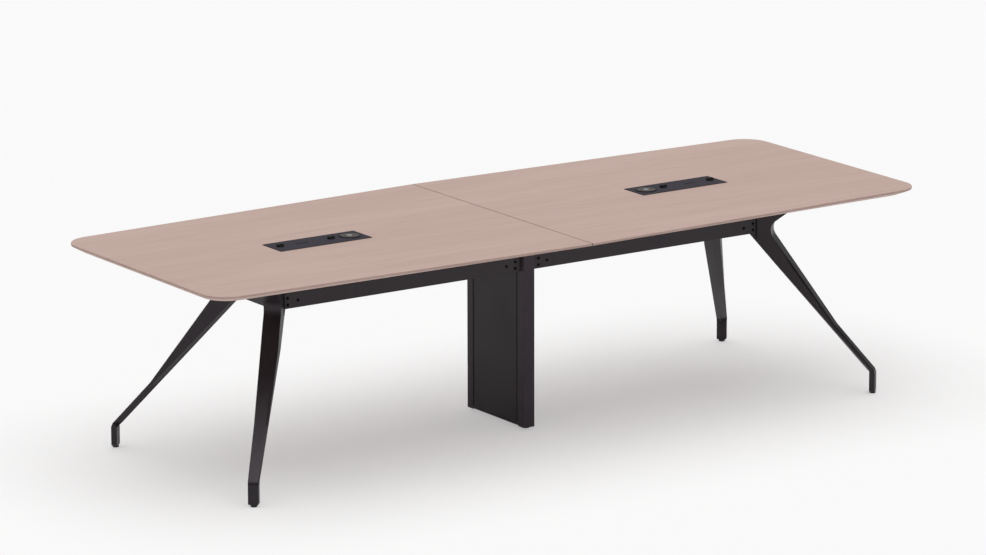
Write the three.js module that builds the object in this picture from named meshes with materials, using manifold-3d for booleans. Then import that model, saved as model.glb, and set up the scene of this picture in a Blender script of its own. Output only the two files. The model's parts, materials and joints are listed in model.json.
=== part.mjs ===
// Conference table: a two-part wooden top on four splayed cast legs. Tube beams tie the legs to a centre
// column, which leads cables up to a power plate in each half of the top.
// Millimetres, +Z up. The origin is on the floor under the middle of the table, +X runs along its length,
// and -Y is the near long side.

import * as THREE from "three";
import { mergeVertices } from "three/addons/utils/BufferGeometryUtils.js";
import Module from "manifold-3d";

const wasm = await Module();
wasm.setup();

// Fits shared by all pieces
const FIT = 0.3; // clearance of a piece in or on its neighbour
const OVERCUT = 5; // how far a cutting tool runs past the surface that it opens
const ROUND_STEPS = 12; // facets of a small round piece

// Top
const TABLE_LENGTH = 3000;
const TABLE_HEIGHT = 760;
const MID_WIDTH = 1142;
const END_WIDTH = 1040;
const CORNER_RADIUS = 100;
const CORNER_STEPS = 12;
const TOP_THICKNESS = 25;
const LIP_HEIGHT = 8; // upright edge above the undercut
const UNDERCUT_MID = 61; // how far the underside stands back at the seam
const UNDERCUT_END_SIDE = 36; // the same on the long sides, at the ends of the table
const UNDERCUT_END = 28; // the same on the short ends
const UNDERCUT_CORNER_RADIUS = 90;
const SEAM_GAP = 1.2;
const DOWEL_RADIUS = 5;
const DOWEL_LENGTH = 60;
const DOWEL_INSET = 171; // from the long edge

// Centre column
const COLUMN_THICKNESS = 46;
const COLUMN_DEPTH = 360;
const COLUMN_CLEAR = 10; // above the floor
const POST_WIDTH = 36;
const POST_WALL = 2.5;
const POST_FOOT = 60; // solid lower end that takes the glide's stud
const COVER_SHEET = 2;
const COVER_RECESS = 0.5; // cover's face behind the faces of the posts
const GROOVE_DEPTH = 1.8; // of the shadow groove beside each post
const GROOVE_WIDTH = 12;
const COVER_HEADROOM = 17; // left above a cover, for lifting it off and for the cables to come out
const BASE_RISE = 3; // above the lower ends of the posts
const BASE_THICKNESS = 3;
const BASE_LIP_HEIGHT = 9; // holds the lower edge of a cover
const BASE_LIP_THICKNESS = 1.5;
const CABLE_SLOT_LENGTH = 200;
const CABLE_SLOT_WIDTH = 12;
const HEAD_PLATE_LENGTH = 200;
const HEAD_PLATE_DEPTH = 340;
const HEAD_PLATE_THICKNESS = 6;
const HEAD_SCREW_REACH = 70; // from the seam
const HEAD_SCREW_SPAN = 240; // between the two screws of a half

// Beams
const BEAM_HEIGHT = 55;
const BEAM_DEPTH = 30;
const BEAM_WALL = 2.5;
const BEAM_DROP = 96; // from the underside of the top to the upper side of the beams
const BEAM_SETBACK = 14; // behind the near face of the column
const BEAM_COLUMN_GAP = 2;
const JOINT_GAP = 2; // shadow gap between a beam and a leg
const CROSSBEAM_SHIFT = 32.7; // its outer face, past the corner where a long beam meets the leg
const SPIGOT_THICKNESS = 13;
const SPIGOT_LENGTH = 75; // inside a long beam
const SPIGOT_ROOT = 20; // sunk into the leg
const CROSS_SPIGOT_LENGTH = 35;

// Bolts of the beams, three at each end on a shared nut plate
const BOLT_RADIUS = 3;
const BOLT_HEAD_RADIUS = 5.5;
const BOLT_HEAD_HEIGHT = 3.3;
const BOLT_SOCKET_RADIUS = 2.3;
const BOLT_SOCKET_DEPTH = 2;
const BOLT_LINE = 25; // height of the lone bolt above the lower side of the beam
const BOLT_PAIR_PITCH = 24;
const BOLT_PAIR_INSET_LEG = 12.5; // from the end of the beam
const BOLT_PAIR_INSET_COLUMN = 25;
const BOLT_STEP_LEG = 42; // from the pair to the lone bolt
const BOLT_STEP_COLUMN = 37;
const NUT_PLATE_THICKNESS = 5;
const NUT_PLATE_MARGIN = 8;

// Legs. Reach is measured from the axis of the foot back towards the middle of the table
const LEG_ANGLE = THREE.MathUtils.degToRad(47.2); // of a leg's plane from the length of the table
const LEG_END_INSET = 486; // from the end of the top to the corner where a long beam meets the leg
const LEG_SPREAD = 431.7; // from that corner to the axis of the foot, along the leg's plane
const FOOT_DEPTH = 21;
const FOOT_WIDTH = 37;
const FOOT_CLEAR = 8; // above the floor, for the glide's pad
const FOOT_CHAMFER = 3.5; // of the two lower corners
const FOOT_TOP = 76;
const BEND_HEIGHT = 90.5;
const BEND_WIDTH = 38.8;
const BEND_REACH = 10.5; // inner edge of the bar at the bend
const BEND_BAR = 15.1; // depth of the bar at the bend, level across
const KNEE_HEIGHT = 248;
const KNEE_BAR = 17.1;
const KNEE_CHAMFER = 4.2; // end side's edge in front of the inner edge at the knee
const KNEE_FADE = 26; // below the knee the end side runs out over this height
const THIN_EDGE = 1.5; // what is left of the end side below the knee
const RIDGE_RISE = 14.8; // inner ridge past the inner edge
const RIDGE_INSET_BEND = 19; // ridge from the long side's face, at the bend
const RIDGE_INSET_HUB = 43;
const FLANK_WIDTH = 8.6; // slanted strip along the blade's outer edge, on the long side
const FLANK_WIDTH_BEND = 4;
const FLANK_WIDTH_END = 0.6; // what is left of it at the foot and at the hub
const FLANK_DEPTH_SHARE = 0.75; // its depth as a share of its width
const FLANK_FADE = 100; // height over which it runs out below the hub
const BLADE_WIDTH = 67; // the blade's, carried on to the shoulder under the hub
const HUB_WIDTH = 61;
const FOOT_OFFSET = 2.5; // axis of the foot from the middle of the hub, towards the long side
const HUB_COVER = 9.5; // height of the hub above the beams
const HUB_REACH = 520;
const HUB_BAR = 93.5;
const ARM_TIP_REACH = 234.7; // where the underside of the arm meets the pad
const ARM_RISE = THREE.MathUtils.degToRad(37.6);
const ARM_FILLET = 44;
const ARM_STEPS = 8;
const PAD_THICKNESS = 6;
const PAD_LENGTH = 130;
const EAR_LENGTH = 50; // pad past the arm, with the screw in its middle

// Screws that hold the top
const TOP_SCREW_RADIUS = 4;
const TOP_SCREW_BITE = 16;
const TOP_SCREW_HEAD_RADIUS = 7;
const TOP_SCREW_HEAD_HEIGHT = 5;

// Levelling glides of the legs, and the screw feet of the column, which end above the floor
const PAD_RADIUS = 11.5;
const PAD_EDGE = 2;
const STUD_RADIUS = 4;
const STUD_FLANGE_RADIUS = 6;
const STUD_FLANGE_HEIGHT = 2;
const STUD_SEAT = 3; // thickness of the pad under the stud
const STUD_LENGTH = 52;
const STUD_BORE_SPARE = 6; // bore above the stud
const SCREW_FOOT_RADIUS = 10;
const SCREW_FOOT_HEIGHT = 4;

// Power plates
const PLATE_CENTRE = 770.7; // from the middle of the table
const PLATE_LENGTH = 375;
const PLATE_WIDTH = 122;
const PLATE_THICKNESS = 2.6;
const TUB_INSET = 12.5; // from each end of the plate
const TUB_WIDTH = 100;
const TUB_DEPTH = 64;
const TUB_WALL = 2.5;
const KNOB_OUTER_INSET = 34.5; // from the plate's end that faces the end of the table
const KNOB_INNER_INSET = 131.5; // from its other end
const KNOB_RADIUS = 13.5;
const KNOB_HEIGHT = 8;
const KNOB_BASE = 3;
const KNOB_GRIP = 8; // width of the grip between its finger hollows
const KNOB_HOLLOW_RADIUS = 14;
const KNOB_STEPS = 24;
const SPINDLE_RADIUS = 5;
const KEEPER_RADIUS = 8; // flange that holds a knob under the plate
const KEEPER_THICKNESS = 3;
const DISC_INSET = 54.5; // from the plate's end that faces the column
const DISC_RADIUS = 38.5;
const DISC_HEIGHT = 3;
const DISC_STEPS = 40;
const DISC_STEM_RADIUS = 15;
const DISC_STEM_LENGTH = 12;
const PORTS_INSET = 123.5; // from the plate's end that faces the end of the table
const PORTS_LENGTH = 48;
const PORTS_WIDTH = 16;
const PORTS_HEIGHT = 22;
const PORTS_FLANGE = 3;
const PORT_DEPTH = 9;
const PORT_OPENINGS = [
  { shift: -15, length: 12, width: 3 },
  { shift: 1, length: 12, width: 3 },
  { shift: 15.5, length: 8.4, width: 2.6 },
];
const INLET_WIDTH = 28;
const INLET_HEIGHT = 20;
const INLET_DEPTH = 22;
const INLET_FLANGE = 3;
const INLET_WALL = 2.5;
const INLET_DROP = 42; // its middle below the power plate

// Heights and places that follow
const UNDERSIDE = TABLE_HEIGHT - TOP_THICKNESS;
const BEAM_TOP = UNDERSIDE - BEAM_DROP;
const BEAM_BOTTOM = BEAM_TOP - BEAM_HEIGHT;
const BEAM_FACE = COLUMN_DEPTH / 2 - BEAM_SETBACK; // outer face of a long beam, from the middle
const BEAM_START = COLUMN_THICKNESS / 2 + BEAM_COLUMN_GAP;
const SPIGOT_FACE = BEAM_FACE - BEAM_WALL - FIT;
const SPIGOT_BACK = SPIGOT_FACE - SPIGOT_THICKNESS;
const SPIGOT_BOTTOM = BEAM_BOTTOM + BEAM_WALL + FIT;
const SPIGOT_TOP = BEAM_TOP - BEAM_WALL - FIT;
const LEG_CORNER = TABLE_LENGTH / 2 - LEG_END_INSET;
const BEAM_END = LEG_CORNER - JOINT_GAP / Math.sin(LEG_ANGLE);
const HUB_TOP = BEAM_TOP + HUB_COVER;
const HUB_LONG_SIDE = HUB_WIDTH / 2 - FOOT_OFFSET; // from the plane through the axis of the foot
const HUB_END_SIDE = HUB_WIDTH / 2 + FOOT_OFFSET;
const FOOT_X = LEG_CORNER + LEG_SPREAD * Math.cos(LEG_ANGLE) + HUB_LONG_SIDE * Math.sin(LEG_ANGLE);
const FOOT_Y = BEAM_FACE + LEG_SPREAD * Math.sin(LEG_ANGLE) - HUB_LONG_SIDE * Math.cos(LEG_ANGLE);
const CROSSBEAM_FACE = LEG_CORNER + CROSSBEAM_SHIFT;
const PAD_BOTTOM = UNDERSIDE - FIT - PAD_THICKNESS;
const EAR_SCREW_REACH = ARM_TIP_REACH - EAR_LENGTH / 2;
const HEAD_PLATE_BOTTOM = UNDERSIDE - FIT - HEAD_PLATE_THICKNESS;
const POST_INNER = COLUMN_DEPTH / 2 - POST_WIDTH;
const BASE_BOTTOM = COLUMN_CLEAR + BASE_RISE;
const BASE_TOP = BASE_BOTTOM + BASE_THICKNESS;
const PLATE_TOP = TABLE_HEIGHT + PLATE_THICKNESS;
const TUB_LENGTH = PLATE_LENGTH - 2 * TUB_INSET;
const KNOB_OUTER = PLATE_LENGTH / 2 - KNOB_OUTER_INSET; // from the middle of the plate
const KNOB_INNER = KNOB_INNER_INSET - PLATE_LENGTH / 2;
const DISC_CENTRE = DISC_INSET - PLATE_LENGTH / 2;
const PORTS_CENTRE = PLATE_LENGTH / 2 - PORTS_INSET;
const DOWEL_REACH = MID_WIDTH / 2 - DOWEL_INSET;

// Finishes, one material per piece
const FINISH = {
  wood: { color: 0xc2a99d, roughness: 0.55, metalness: 0 },
  dowel: { color: 0xc9a878, roughness: 0.7, metalness: 0 },
  powderCoat: { color: 0x343235, roughness: 0.6, metalness: 0.1 },
  darkSteel: { color: 0x1d1c1e, roughness: 0.4, metalness: 0.8 },
  zinc: { color: 0x9a9c9f, roughness: 0.35, metalness: 0.9 },
  nylon: { color: 0x1a1a1b, roughness: 0.7, metalness: 0 },
  anodised: { color: 0x3c3b40, roughness: 0.45, metalness: 0.6 },
  blackPlastic: { color: 0x232326, roughness: 0.5, metalness: 0 },
};

function piece(name, geometry, finish) {
  geometry.computeVertexNormals();
  const mesh = new THREE.Mesh(geometry, new THREE.MeshStandardMaterial(FINISH[finish]));
  mesh.name = name;
  return mesh;
}

// Solids for joining and cutting
function solid(geometry) {
  const bare = geometry.index ? geometry.toNonIndexed() : geometry.clone();
  bare.deleteAttribute("normal");
  bare.deleteAttribute("uv");
  const merged = mergeVertices(bare, 1e-4);
  const vertProperties = new Float32Array(merged.attributes.position.array);
  const triVerts = new Uint32Array(merged.index.array);
  return new wasm.Manifold(new wasm.Mesh({ numProp: 3, vertProperties, triVerts }));
}

function surface(body) {
  const mesh = body.getMesh();
  const geometry = new THREE.BufferGeometry();
  geometry.setAttribute("position", new THREE.BufferAttribute(mesh.vertProperties, 3));
  geometry.setIndex(new THREE.BufferAttribute(mesh.triVerts, 1));
  return geometry.toNonIndexed();
}

function join(...geometries) {
  return surface(geometries.map(solid).reduce((whole, next) => whole.add(next)));
}

function cut(geometry, ...tools) {
  return surface(tools.map(solid).reduce((rest, tool) => rest.subtract(tool), solid(geometry)));
}

// Basic forms
function block(x0, x1, y0, y1, z0, z1) {
  const box = new THREE.BoxGeometry(x1 - x0, y1 - y0, z1 - z0);
  return box.translate((x0 + x1) / 2, (y0 + y1) / 2, (z0 + z1) / 2);
}

function upright(radius, x, y, z0, z1, steps = ROUND_STEPS) {
  const rod = new THREE.CylinderGeometry(radius, radius, z1 - z0, steps);
  return rod.rotateX(Math.PI / 2).translate(x, y, (z0 + z1) / 2);
}

function rodAlongY(radius, x, z, y0, y1, steps = ROUND_STEPS) {
  const rod = new THREE.CylinderGeometry(radius, radius, y1 - y0, steps);
  return rod.translate(x, (y0 + y1) / 2, z);
}

function turned(profile, x, y, steps = ROUND_STEPS) {
  const points = profile.map(([radius, height]) => new THREE.Vector2(radius, height));
  return new THREE.LatheGeometry(points, steps).rotateX(Math.PI / 2).translate(x, y, 0);
}

function mix(a, b, share) {
  return a + (b - a) * share;
}

// Points along the arc that rounds the corner of an outline, from the side before it to the side after
function roundedCorner(before, corner, after, radius, steps) {
  const back = before.clone().sub(corner).normalize();
  const onward = after.clone().sub(corner).normalize();
  const halfAngle = Math.acos(back.dot(onward)) / 2;
  const middle = back.clone().add(onward).normalize();
  const centre = middle.multiplyScalar(radius / Math.sin(halfAngle)).add(corner);
  const start = back.clone().multiplyScalar(radius / Math.tan(halfAngle)).add(corner).sub(centre);
  const turn = Math.sign(onward.cross(back)) * (Math.PI - 2 * halfAngle);
  return Array.from({ length: steps + 1 }, (_, i) => {
    const angle = (turn * i) / steps;
    return start.clone().rotateAround(new THREE.Vector2(), angle).add(centre);
  });
}

// A closed body through level rings of points, all with the same count and all anticlockwise from above
function loft(rings) {
  const count = rings[0].length;
  const corners = rings.flat();
  const faces = [];
  for (let level = 0; level + 1 < rings.length; level += 1) {
    for (let i = 0; i < count; i += 1) {
      const low = level * count + i;
      const lowNext = level * count + ((i + 1) % count);
      faces.push(low, lowNext, lowNext + count, low, lowNext + count, low + count);
    }
  }
  const flat = (ring) => ring.map((p) => new THREE.Vector2(p.x, p.y));
  for (const [a, b, c] of THREE.ShapeUtils.triangulateShape(flat(rings[0]), [])) {
    faces.push(c, b, a);
  }
  const last = (rings.length - 1) * count;
  for (const [a, b, c] of THREE.ShapeUtils.triangulateShape(flat(rings.at(-1)), [])) {
    faces.push(last + a, last + b, last + c);
  }
  const geometry = new THREE.BufferGeometry().setFromPoints(corners);
  geometry.setIndex(faces);
  return geometry.toNonIndexed();
}

// A leg is drawn in its own plane: x runs out along the plane from the axis of the foot, y towards the
// end of the table. This brings it to its place at the right near corner.
function atLeg(geometry) {
  return geometry.rotateZ(-LEG_ANGLE).translate(FOOT_X, -FOOT_Y, 0);
}

function legPoint(reach) {
  return new THREE.Vector2(FOOT_X - reach * Math.cos(LEG_ANGLE), -FOOT_Y + reach * Math.sin(LEG_ANGLE));
}

// Top: each half tapers to its end and is undercut all round except at the seam
function halfOutline(halfLength, midWidth, endWidth, radius, height) {
  const seamWidth = mix(midWidth, endWidth, SEAM_GAP / 2 / halfLength);
  const nearSeam = new THREE.Vector2(SEAM_GAP / 2, -seamWidth / 2);
  const nearEnd = new THREE.Vector2(halfLength, -endWidth / 2);
  const farEnd = new THREE.Vector2(halfLength, endWidth / 2);
  const farSeam = new THREE.Vector2(SEAM_GAP / 2, seamWidth / 2);
  const outline = [
    nearSeam,
    ...roundedCorner(nearSeam, nearEnd, farEnd, radius, CORNER_STEPS),
    ...roundedCorner(nearEnd, farEnd, farSeam, radius, CORNER_STEPS),
    farSeam,
  ];
  return outline.map((p) => new THREE.Vector3(p.x, p.y, height));
}

function topHalf() {
  const length = TABLE_LENGTH / 2;
  const underLength = length - UNDERCUT_END;
  const underMid = MID_WIDTH - 2 * UNDERCUT_MID;
  const underEnd = END_WIDTH - 2 * UNDERCUT_END_SIDE;
  const board = loft([
    halfOutline(underLength, underMid, underEnd, UNDERCUT_CORNER_RADIUS, UNDERSIDE),
    halfOutline(length, MID_WIDTH, END_WIDTH, CORNER_RADIUS, TABLE_HEIGHT - LIP_HEIGHT),
    halfOutline(length, MID_WIDTH, END_WIDTH, CORNER_RADIUS, TABLE_HEIGHT),
  ]);
  const tubRoom = block(
    PLATE_CENTRE - TUB_LENGTH / 2 - FIT,
    PLATE_CENTRE + TUB_LENGTH / 2 + FIT,
    -TUB_WIDTH / 2 - FIT,
    TUB_WIDTH / 2 + FIT,
    UNDERSIDE - OVERCUT,
    TABLE_HEIGHT + OVERCUT,
  );
  const ear = legPoint(EAR_SCREW_REACH);
  const screwHole = (x, y) =>
    upright(TOP_SCREW_RADIUS + FIT, x, y, UNDERSIDE - OVERCUT, UNDERSIDE + TOP_SCREW_BITE + FIT);
  const dowelHole = (y) => dowelRod(DOWEL_RADIUS + FIT, DOWEL_LENGTH + 2 * FIT, y);
  return cut(
    board,
    tubRoom,
    screwHole(ear.x, ear.y),
    screwHole(ear.x, -ear.y),
    screwHole(HEAD_SCREW_REACH, HEAD_SCREW_SPAN / 2),
    screwHole(HEAD_SCREW_REACH, -HEAD_SCREW_SPAN / 2),
    dowelHole(DOWEL_REACH),
    dowelHole(-DOWEL_REACH),
  );
}

function dowelRod(radius, length, y) {
  const rod = new THREE.CylinderGeometry(radius, radius, length, ROUND_STEPS).rotateZ(Math.PI / 2);
  return rod.translate(0, y, TABLE_HEIGHT - TOP_THICKNESS / 2);
}

function topScrew(x, y, seat) {
  const grip = UNDERSIDE - seat + TOP_SCREW_BITE;
  const head = upright(TOP_SCREW_HEAD_RADIUS, x, y, seat - TOP_SCREW_HEAD_HEIGHT, seat);
  const shank = upright(TOP_SCREW_RADIUS, x, y, seat - TOP_SCREW_HEAD_HEIGHT / 2, seat + grip);
  return join(head, shank);
}

// Beams: square-cut at the column, mitred along the face of the leg
function legRoom() {
  const y0 = -HUB_LONG_SIDE - JOINT_GAP;
  const y1 = HUB_END_SIDE + JOINT_GAP;
  return atLeg(block(-2 * HUB_REACH, 0, y0, y1, BEAM_BOTTOM - OVERCUT, BEAM_TOP + OVERCUT));
}

function beamBolts(end) {
  const inward = end === "leg" ? -1 : 1;
  const pair = end === "leg" ? BEAM_END - BOLT_PAIR_INSET_LEG : BEAM_START + BOLT_PAIR_INSET_COLUMN;
  const lone = pair + inward * (end === "leg" ? BOLT_STEP_LEG : BOLT_STEP_COLUMN);
  const line = BEAM_BOTTOM + BOLT_LINE;
  return [
    { x: lone, z: line },
    { x: pair, z: line - BOLT_PAIR_PITCH / 2 },
    { x: pair, z: line + BOLT_PAIR_PITCH / 2 },
  ];
}

function boltHoles(end, side = 1) {
  const y0 = -BEAM_FACE - OVERCUT;
  const y1 = -SPIGOT_BACK + OVERCUT;
  return beamBolts(end).map(({ x, z }) => rodAlongY(BOLT_RADIUS + FIT, side * x, z, y0, y1));
}

function longBeam() {
  const y0 = -BEAM_FACE;
  const y1 = -BEAM_FACE + BEAM_DEPTH;
  const outer = block(BEAM_START, BEAM_END + BEAM_DEPTH, y0, y1, BEAM_BOTTOM, BEAM_TOP);
  const bore = block(
    BEAM_START - OVERCUT,
    BEAM_END + BEAM_DEPTH + OVERCUT,
    y0 + BEAM_WALL,
    y1 - BEAM_WALL,
    BEAM_BOTTOM + BEAM_WALL,
    BEAM_TOP - BEAM_WALL,
  );
  return cut(outer, bore, legRoom(), ...boltHoles("leg"), ...boltHoles("column"));
}

function crossbeam() {
  const x0 = CROSSBEAM_FACE - BEAM_DEPTH;
  const x1 = CROSSBEAM_FACE;
  const outer = block(x0, x1, -BEAM_FACE, BEAM_FACE, BEAM_BOTTOM, BEAM_TOP);
  const bore = block(
    x0 + BEAM_WALL,
    x1 - BEAM_WALL,
    -BEAM_FACE - OVERCUT,
    BEAM_FACE + OVERCUT,
    BEAM_BOTTOM + BEAM_WALL,
    BEAM_TOP - BEAM_WALL,
  );
  const farRoom = legRoom().rotateX(Math.PI).translate(0, 0, BEAM_BOTTOM + BEAM_TOP);
  return cut(outer, bore, legRoom(), farRoom);
}

// Three socket bolts screwed into the nut plate behind the spigot
function nutPlateBox(end, spare) {
  const bolts = beamBolts(end);
  const margin = NUT_PLATE_MARGIN + spare;
  const xs = bolts.map((bolt) => bolt.x);
  const zs = bolts.map((bolt) => bolt.z);
  const back = -SPIGOT_BACK + FIT - spare;
  return block(
    Math.min(...xs) - margin,
    Math.max(...xs) + margin,
    back,
    back + NUT_PLATE_THICKNESS + 2 * spare,
    Math.min(...zs) - margin,
    Math.max(...zs) + margin,
  );
}

function boltSet(end) {
  const face = -BEAM_FACE;
  const plateMiddle = -SPIGOT_BACK + FIT + NUT_PLATE_THICKNESS / 2;
  const headEnd = face - BOLT_HEAD_HEIGHT;
  const rods = beamBolts(end).flatMap(({ x, z }) => [
    rodAlongY(BOLT_RADIUS, x, z, face - BOLT_HEAD_HEIGHT / 3, plateMiddle),
    rodAlongY(BOLT_HEAD_RADIUS, x, z, headEnd, face),
  ]);
  const sockets = beamBolts(end).map(({ x, z }) =>
    rodAlongY(BOLT_SOCKET_RADIUS, x, z, headEnd - OVERCUT, headEnd + BOLT_SOCKET_DEPTH, 6),
  );
  return cut(join(nutPlateBox(end, 0), ...rods), ...sockets);
}

// Leg: an upright foot, a slim bar with a ridge inside, a blade that widens to the hub, and an arm
function legRing(height, { width, shift, outer, inner, ridge, ridgeInset, chamfer, flank }) {
  const longSide = shift - width / 2;
  const endSide = shift + width / 2;
  return [
    new THREE.Vector3(outer, longSide + flank, height),
    new THREE.Vector3(outer, endSide, height),
    new THREE.Vector3(chamfer, endSide, height),
    new THREE.Vector3(ridge, longSide + ridgeInset, height),
    new THREE.Vector3(inner, longSide, height),
    new THREE.Vector3(outer - flank * FLANK_DEPTH_SHARE, longSide, height),
  ];
}

// Reach of the blade's outer edge, which runs straight from the knee to the hub
function outerReach(height) {
  const knee = innerReach(KNEE_HEIGHT) - KNEE_BAR;
  return mix(knee, HUB_REACH - HUB_BAR, (height - KNEE_HEIGHT) / (HUB_TOP - KNEE_HEIGHT));
}

// Reach of the inner edge, one straight line from the bend to the hub
function innerReach(height) {
  return mix(BEND_REACH, HUB_REACH, (height - BEND_HEIGHT) / (HUB_TOP - BEND_HEIGHT));
}

// Where the blade's outer edge would meet the underside of the arm, as reach and height
function armCrotch() {
  const slope = (outerReach(HUB_TOP) - outerReach(KNEE_HEIGHT)) / (HUB_TOP - KNEE_HEIGHT);
  const rise = Math.tan(ARM_RISE);
  const gap = outerReach(PAD_BOTTOM) - ARM_TIP_REACH;
  const height = PAD_BOTTOM - gap / (slope + 1 / rise);
  return { reach: outerReach(height), height };
}

function blade() {
  const outer = FOOT_DEPTH / 2;
  const footRing = (height, width) =>
    legRing(height, {
      width,
      shift: 0,
      outer,
      inner: -outer,
      ridge: -outer,
      ridgeInset: width / 2,
      chamfer: -outer,
      flank: FLANK_WIDTH_END,
    });
  const barRing = (height, width, bar, chamfer, flank, shift = 0) => {
    const inner = -innerReach(height);
    const rise = (height - BEND_HEIGHT) / (HUB_TOP - BEND_HEIGHT);
    return legRing(height, {
      width,
      shift,
      outer: inner + bar,
      inner,
      ridge: inner - RIDGE_RISE,
      ridgeInset: mix(RIDGE_INSET_BEND, RIDGE_INSET_HUB, rise),
      chamfer: inner + chamfer,
      flank,
    });
  };
  const fade = KNEE_HEIGHT - KNEE_FADE;
  const fadeShare = (fade - BEND_HEIGHT) / (KNEE_HEIGHT - BEND_HEIGHT);
  const fadeBar = mix(BEND_BAR, KNEE_BAR, fadeShare);
  const shoulder = armCrotch().height - ARM_FILLET;
  const widthAt = (height) => mix(BEND_WIDTH, BLADE_WIDTH, (height - BEND_HEIGHT) / (shoulder - BEND_HEIGHT));
  const barAt = (height) => innerReach(height) - outerReach(height);
  const flankEnd = shoulder - FLANK_FADE;
  const flankChamfer = (KNEE_CHAMFER * FLANK_FADE) / (shoulder - KNEE_HEIGHT);
  return loft([
    footRing(FOOT_CLEAR, FOOT_WIDTH - 2 * FOOT_CHAMFER),
    footRing(FOOT_CLEAR + FOOT_CHAMFER, FOOT_WIDTH),
    footRing(FOOT_TOP, FOOT_WIDTH),
    barRing(BEND_HEIGHT, BEND_WIDTH, BEND_BAR, BEND_BAR - THIN_EDGE, FLANK_WIDTH_BEND),
    barRing(fade, widthAt(fade), fadeBar, fadeBar - THIN_EDGE, FLANK_WIDTH),
    barRing(KNEE_HEIGHT, widthAt(KNEE_HEIGHT), KNEE_BAR, KNEE_CHAMFER, FLANK_WIDTH),
    barRing(flankEnd, widthAt(flankEnd), barAt(flankEnd), flankChamfer, FLANK_WIDTH),
    barRing(shoulder, HUB_WIDTH, barAt(shoulder), 0, FLANK_WIDTH_END, FOOT_OFFSET),
    barRing(HUB_TOP, HUB_WIDTH, HUB_BAR, 0, FLANK_WIDTH_END, FOOT_OFFSET),
  ]);
}

// The arm rises from the hub to a pad under the top, with a fillet where it leaves the blade
function arm() {
  const crotch = armCrotch();
  const corner = new THREE.Vector2(-crotch.reach, crotch.height);
  const knee = new THREE.Vector2(-outerReach(KNEE_HEIGHT), KNEE_HEIGHT);
  const tip = new THREE.Vector2(-ARM_TIP_REACH, PAD_BOTTOM);
  const earEnd = -ARM_TIP_REACH + EAR_LENGTH;
  const padStart = -ARM_TIP_REACH - PAD_LENGTH;
  const padTop = PAD_BOTTOM + PAD_THICKNESS;
  const hubBack = -HUB_REACH + HUB_COVER;
  const outline = [
    ...roundedCorner(knee, corner, tip, ARM_FILLET, ARM_STEPS),
    tip,
    new THREE.Vector2(earEnd, PAD_BOTTOM),
    new THREE.Vector2(earEnd, padTop),
    new THREE.Vector2(padStart, padTop),
    new THREE.Vector2(padStart, PAD_BOTTOM),
    new THREE.Vector2(hubBack, HUB_TOP),
    new THREE.Vector2(hubBack, BEAM_TOP),
  ];
  const shape = new THREE.Shape(outline);
  const plate = new THREE.ExtrudeGeometry(shape, { depth: HUB_WIDTH, bevelEnabled: false });
  return plate.rotateX(Math.PI / 2).translate(0, HUB_END_SIDE, 0);
}

function studBore(x, y, mouth, studTop) {
  return upright(STUD_RADIUS + FIT, x, y, mouth - OVERCUT, studTop + STUD_BORE_SPARE);
}

function leg() {
  const beamSpigot = block(
    BEAM_END - SPIGOT_LENGTH,
    LEG_CORNER + SPIGOT_ROOT,
    -SPIGOT_FACE,
    -SPIGOT_BACK,
    SPIGOT_BOTTOM,
    SPIGOT_TOP,
  );
  const x1 = CROSSBEAM_FACE - BEAM_WALL - FIT;
  const x0 = CROSSBEAM_FACE - BEAM_DEPTH + BEAM_WALL + FIT;
  const crossEnd = crossbeamEnd();
  const crossSpigot = block(
    x0,
    x1,
    -crossEnd - SPIGOT_ROOT / 2,
    -crossEnd + BEAM_DEPTH + CROSS_SPIGOT_LENGTH,
    SPIGOT_BOTTOM,
    SPIGOT_TOP,
  );
  const body = join(atLeg(join(blade(), arm())), beamSpigot, crossSpigot);
  const ear = legPoint(EAR_SCREW_REACH);
  const earHole = upright(TOP_SCREW_RADIUS + FIT, ear.x, ear.y, PAD_BOTTOM - OVERCUT, UNDERSIDE + OVERCUT);
  const bore = studBore(FOOT_X, -FOOT_Y, FOOT_CLEAR, STUD_SEAT + FIT + STUD_LENGTH);
  return cut(body, bore, earHole, nutPlateBox("leg", FIT), ...boltHoles("leg"));
}

// Distance from the middle at which the outer face of a crossbeam meets the leg's end side
function crossbeamEnd() {
  const across = HUB_END_SIDE;
  const along = (FOOT_X + across * Math.sin(LEG_ANGLE) - CROSSBEAM_FACE) / Math.cos(LEG_ANGLE);
  return FOOT_Y - along * Math.sin(LEG_ANGLE) - across * Math.cos(LEG_ANGLE);
}

// Levelling glide: a pad on the floor and a threaded stud that turns in it
function glidePad() {
  const top = FOOT_CLEAR - FIT;
  const socket = STUD_FLANGE_RADIUS + FIT;
  const profile = [
    [0, 0],
    [PAD_RADIUS - PAD_EDGE, 0],
    [PAD_RADIUS, PAD_EDGE],
    [PAD_RADIUS, top],
    [socket, top],
    [socket, STUD_SEAT],
    [0, STUD_SEAT],
  ];
  return turned(profile, FOOT_X, -FOOT_Y);
}

function glideStud() {
  const base = STUD_SEAT + FIT;
  const profile = [
    [0, base],
    [STUD_FLANGE_RADIUS, base],
    [STUD_FLANGE_RADIUS, base + STUD_FLANGE_HEIGHT],
    [STUD_RADIUS, base + STUD_FLANGE_HEIGHT],
    [STUD_RADIUS, base + STUD_LENGTH],
    [0, base + STUD_LENGTH],
  ];
  return turned(profile, FOOT_X, -FOOT_Y);
}

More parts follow.
